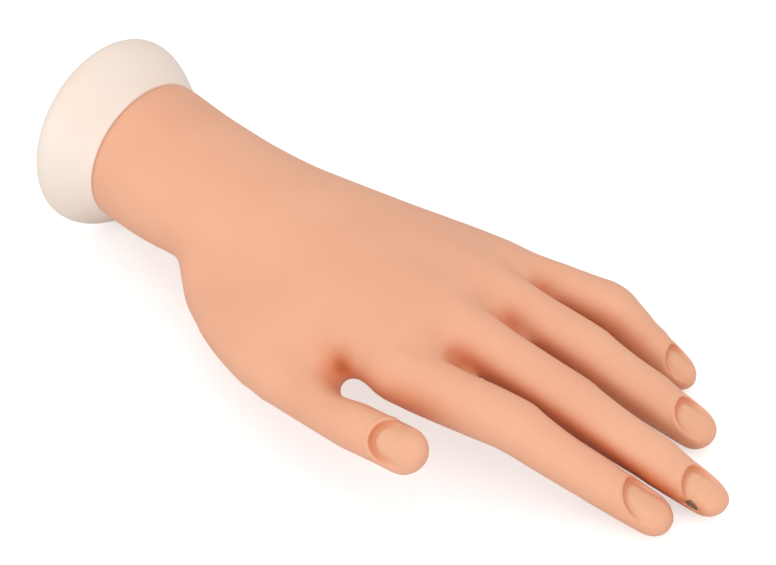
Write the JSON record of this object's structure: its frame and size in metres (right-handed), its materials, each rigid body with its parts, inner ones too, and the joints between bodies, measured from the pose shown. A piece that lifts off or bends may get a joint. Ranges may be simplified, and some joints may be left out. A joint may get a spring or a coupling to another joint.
{
  "type": "flexible mannequin hand",
  "caption": "Left mannequin hand with a soft skin over a pinned skeleton; the fingers and thumb bend at every joint, and the wrist ends in a flared stand collar.",
  "frame": {"origin": "middle of the stand collar's flat end face", "axes": "+X from the wrist to the fingers, +Y to the little finger's side, +Z to the back of the hand; the hand lies palm down on the collar's rim and its fingertips"},
  "size_m": [0.2451, 0.1136, 0.0686],
  "materials": {
    "soft_skin": "satin, soft vinyl",
    "nail_bed": "semi-gloss",
    "skeleton": "matt, as moulded",
    "stand_collar": "satin, milky white",
    "steel": "bright steel"
  },
  "bodies": {
    "palm": {"stand_collar": "stand_collar", "collar_screws": "steel", "wrist_post": "skeleton", "post_screws": "steel", "palm_frame": "skeleton", "knuckle_pins": "steel", "palm_skin": "soft_skin", "knuckle_folds": "soft_skin"},
    "index_first": {"index_first_bone": "skeleton", "index_first_skin": "soft_skin"},
    "index_middle": {"index_middle_bone": "skeleton", "index_middle_skin": "soft_skin", "index_hinge_pins": "steel", "index_skin_folds": "soft_skin"},
    "index_tip": {"index_tip_bone": "skeleton", "index_tip_skin": "soft_skin", "index_nail_bed": "nail_bed"},
    "middle_first": {"middle_first_bone": "skeleton", "middle_first_skin": "soft_skin"},
    "middle_middle": {"middle_middle_bone": "skeleton", "middle_middle_skin": "soft_skin", "middle_hinge_pins": "steel", "middle_skin_folds": "soft_skin"},
    "middle_tip": {"middle_tip_bone": "skeleton", "middle_tip_skin": "soft_skin", "middle_nail_bed": "nail_bed"},
    "ring_first": {"ring_first_bone": "skeleton", "ring_first_skin": "soft_skin"},
    "ring_middle": {"ring_middle_bone": "skeleton", "ring_middle_skin": "soft_skin", "ring_hinge_pins": "steel", "ring_skin_folds": "soft_skin"},
    "ring_tip": {"ring_tip_bone": "skeleton", "ring_tip_skin": "soft_skin", "ring_nail_bed": "nail_bed"},
    "little_first": {"little_first_bone": "skeleton", "little_first_skin": "soft_skin"},
    "little_middle": {"little_middle_bone": "skeleton", "little_middle_skin": "soft_skin", "little_hinge_pins": "steel", "little_skin_folds": "soft_skin"},
    "little_tip": {"little_tip_bone": "skeleton", "little_tip_skin": "soft_skin", "little_nail_bed": "nail_bed"},
    "thumb_first": {"thumb_first_bone": "skeleton", "thumb_first_skin": "soft_skin"},
    "thumb_middle": {"thumb_middle_bone": "skeleton", "thumb_middle_skin": "soft_skin", "thumb_hinge_pins": "steel", "thumb_skin_folds": "soft_skin"},
    "thumb_tip": {"thumb_tip_bone": "skeleton", "thumb_tip_skin": "soft_skin", "thumb_nail_bed": "nail_bed"}
  },
  "joints": [
    {"name": "index_knuckle", "type": "hinge", "parent": "palm", "child": "index_first", "pos_m": [0.152, -0.0327, 0.0065], "axis": [0.3223, -0.9466, 0], "range_deg": [-80, 15], "deforming": ["knuckle_folds"]},
    {"name": "index_middle_joint", "type": "hinge", "parent": "index_first", "child": "index_middle", "pos_m": [0.18763, -0.02057, -0.00373], "axis": [-0.3223, 0.9466, 0], "range_deg": [-4, 75.6], "deforming": ["index_skin_folds"]},
    {"name": "index_end_joint", "type": "hinge", "parent": "index_middle", "child": "index_tip", "pos_m": [0.21238, -0.01215, -0.01739], "axis": [-0.3223, 0.9466, 0], "range_deg": [-4, 55], "deforming": ["index_skin_folds"]},
    {"name": "middle_knuckle", "type": "hinge", "parent": "palm", "child": "middle_first", "pos_m": [0.154, -0.0067, 0.0072], "axis": [0.2045, -0.9789, 0], "range_deg": [-80, 15], "deforming": ["knuckle_folds"]},
    {"name": "middle_middle_joint", "type": "hinge", "parent": "middle_first", "child": "middle_middle", "pos_m": [0.19358, 0.00157, -0.00744], "axis": [-0.2045, 0.9789, 0], "range_deg": [-4, 84.9], "deforming": ["middle_skin_folds"]},
    {"name": "middle_end_joint", "type": "hinge", "parent": "middle_middle", "child": "middle_tip", "pos_m": [0.22151, 0.0074, -0.01955], "axis": [-0.2045, 0.9789, 0], "range_deg": [-4, 55], "deforming": ["middle_skin_folds"]},
    {"name": "ring_knuckle", "type": "hinge", "parent": "palm", "child": "ring_first", "pos_m": [0.153, 0.0145, 0.0045], "axis": [0.2419, -0.9703, 0], "range_deg": [-80, 15], "deforming": ["knuckle_folds"]},
    {"name": "ring_middle_joint", "type": "hinge", "parent": "ring_first", "child": "ring_middle", "pos_m": [0.18559, 0.02262, -0.00846], "axis": [-0.2419, 0.9703, 0], "range_deg": [-4, 82.1], "deforming": ["ring_skin_folds"]},
    {"name": "ring_end_joint", "type": "hinge", "parent": "ring_middle", "child": "ring_tip", "pos_m": [0.20634, 0.0278, -0.01936], "axis": [-0.2419, 0.9703, 0], "range_deg": [-4, 55], "deforming": ["ring_skin_folds"]},
    {"name": "little_knuckle", "type": "hinge", "parent": "palm", "child": "little_first", "pos_m": [0.149, 0.033, -0.0018], "axis": [0.2588, -0.9659, 0], "range_deg": [-80, 15], "deforming": ["knuckle_folds"]},
    {"name": "little_middle_joint", "type": "hinge", "parent": "little_first", "child": "little_middle", "pos_m": [0.18133, 0.04166, -0.01015], "axis": [-0.2588, 0.9659, 0], "range_deg": [-4, 65], "deforming": ["little_skin_folds"]},
    {"name": "little_end_joint", "type": "hinge", "parent": "little_middle", "child": "little_tip", "pos_m": [0.19445, 0.04518, -0.02038], "axis": [-0.2588, 0.9659, 0], "range_deg": [-4, 55], "deforming": ["little_skin_folds"]},
    {"name": "thumb_base", "type": "hinge", "parent": "palm", "child": "thumb_first", "pos_m": [0.077, -0.027, -0.009], "axis": [0.4258, 0.9048, 0], "range_deg": [0, 30], "deforming": ["knuckle_folds"]},
    {"name": "thumb_knuckle", "type": "hinge", "parent": "thumb_first", "child": "thumb_middle", "pos_m": [0.11869, -0.04662, -0.0044], "axis": [0.0036, 0.7146, 0.6995], "range_deg": [-4, 65], "deforming": ["thumb_skin_folds"]},
    {"name": "thumb_end_joint", "type": "hinge", "parent": "thumb_middle", "child": "thumb_tip", "pos_m": [0.15048, -0.05142, 0.00035], "axis": [-0.0555, 0.7073, 0.7047], "range_deg": [-4, 55], "deforming": ["thumb_skin_folds"]}
  ]
}
